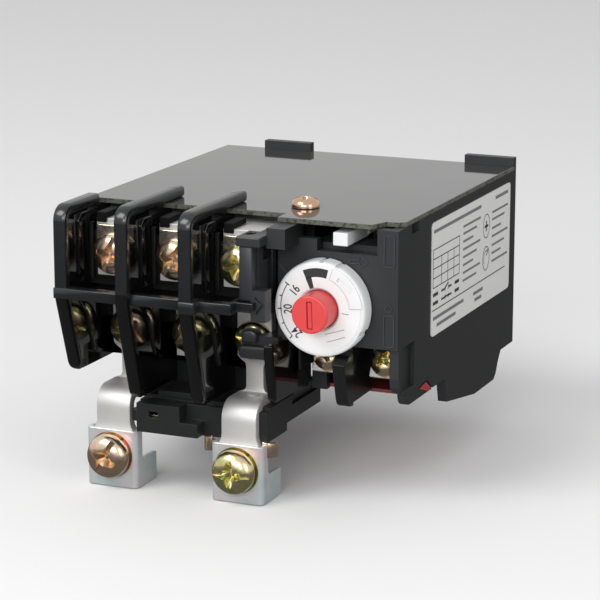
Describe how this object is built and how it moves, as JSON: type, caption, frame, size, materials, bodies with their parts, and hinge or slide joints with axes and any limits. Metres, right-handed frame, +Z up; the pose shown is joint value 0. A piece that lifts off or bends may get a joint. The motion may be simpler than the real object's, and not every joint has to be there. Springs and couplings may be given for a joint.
{
  "type": "thermal overload relay",
  "caption": "Three-pole thermal overload relay with barrier-separated screw terminals, two bottom connecting tabs, a setting dial with a reset button and a slide trip lever.",
  "frame": {"origin": "a point on the flat rear face that bears on the mounting panel, half way across the case and 22 mm above that face's lower edge", "axes": "+X to the right seen from the dial side, +Y to the mounting panel, +Z up"},
  "size_m": [0.0792, 0.1004, 0.0685],
  "materials": {
    "moulding": "black phenolic moulding",
    "cover": "glossy grey-green laminate sheet",
    "silvered": "satin silver plated copper",
    "yellow_zinc": "steel with yellow passivated zinc",
    "clear_zinc": "steel with clear zinc",
    "white_plastic": "satin white plastic",
    "scale": "printed film",
    "red_plastic": "satin red plastic",
    "spring_steel": "spring steel",
    "bimetal": "bimetal strip",
    "brass": "plain brass",
    "pusher_plastic": "natural plastic",
    "label": "printed light grey film",
    "fibre": "red-brown insulating sheet"
  },
  "bodies": {
    "body": {"case": "moulding", "upper_barriers": "moulding", "lower_barriers": "moulding", "lower_block": "moulding", "control_block": "moulding", "cover_plate": "cover", "upper_strip_1": "silvered", "upper_strip_2": "silvered", "upper_strip_3": "silvered", "lower_strip_2": "silvered", "tab_1": "silvered", "tab_3": "silvered", "control_plate_1": "silvered", "control_plate_2": "silvered", "cover_screw": "yellow_zinc", "upper_screw_1": "yellow_zinc", "upper_screw_2": "yellow_zinc", "upper_screw_3": "yellow_zinc", "lower_screw_1": "yellow_zinc", "lower_screw_2": "yellow_zinc", "lower_screw_3": "yellow_zinc", "clamp_screw_1": "yellow_zinc", "clamp_screw_3": "yellow_zinc", "control_screw_1": "yellow_zinc", "control_screw_2": "yellow_zinc", "upper_washer_1": "yellow_zinc", "upper_washer_2": "yellow_zinc", "upper_washer_3": "yellow_zinc", "lower_washer_1": "yellow_zinc", "lower_washer_2": "yellow_zinc", "lower_washer_3": "yellow_zinc", "spring_washer_1": "yellow_zinc", "spring_washer_3": "yellow_zinc", "nut_plate_1": "yellow_zinc", "nut_plate_3": "yellow_zinc", "control_washer_1": "yellow_zinc", "control_washer_2": "yellow_zinc", "clamp_plate_1": "clear_zinc", "clamp_plate_3": "clear_zinc", "reset_spring": "spring_steel", "pivot_pin": "spring_steel", "bimetal_1": "bimetal", "bimetal_3": "bimetal", "heater_1": "brass", "heater_3": "brass", "link_2": "brass", "fixed_contact": "brass", "side_label": "label", "bottom_sheet": "fibre"},
    "dial": {"dial": "white_plastic", "dial_scale": "scale", "dial_clip": "spring_steel"},
    "button": {"reset_button": "red_plastic", "button_clip": "spring_steel"},
    "lever": {"trip_lever": "white_plastic"},
    "pusher": {"pusher_bar": "pusher_plastic"},
    "arm": {"contact_arm": "brass"}
  },
  "joints": [
    {"name": "dial_turn", "type": "hinge", "parent": "body", "child": "dial", "pos_m": [0.0225, -0.082, 0.004], "axis": [0, 1, 0], "range_deg": [-45, 45]},
    {"name": "button_press", "type": "slide", "parent": "dial", "child": "button", "axis": [0, 1, 0], "range_m": [0, 0.0025], "stiffness_N_per_m": 600, "springref_m": -0.001, "deforming": ["reset_spring"]},
    {"name": "trip_slide", "type": "slide", "parent": "body", "child": "lever", "axis": [-1, 0, 0], "range_m": [0, 0.0034]},
    {"name": "arm_turn", "type": "hinge", "parent": "body", "child": "arm", "pos_m": [0.02605, -0.0577, 0.001], "axis": [0, -1, 0], "range_deg": [0, 11.6]},
    {"name": "pusher_slide", "type": "slide", "parent": "body", "child": "pusher", "axis": [1, 0, 0], "range_m": [0, 0.0013]}
  ],
  "couplings": [
    {"joint": "arm_turn", "follows": "trip_slide", "rad_per_m": 58.82},
    {"joint": "pusher_slide", "follows": "trip_slide", "ratio": 0.38}
  ]
}
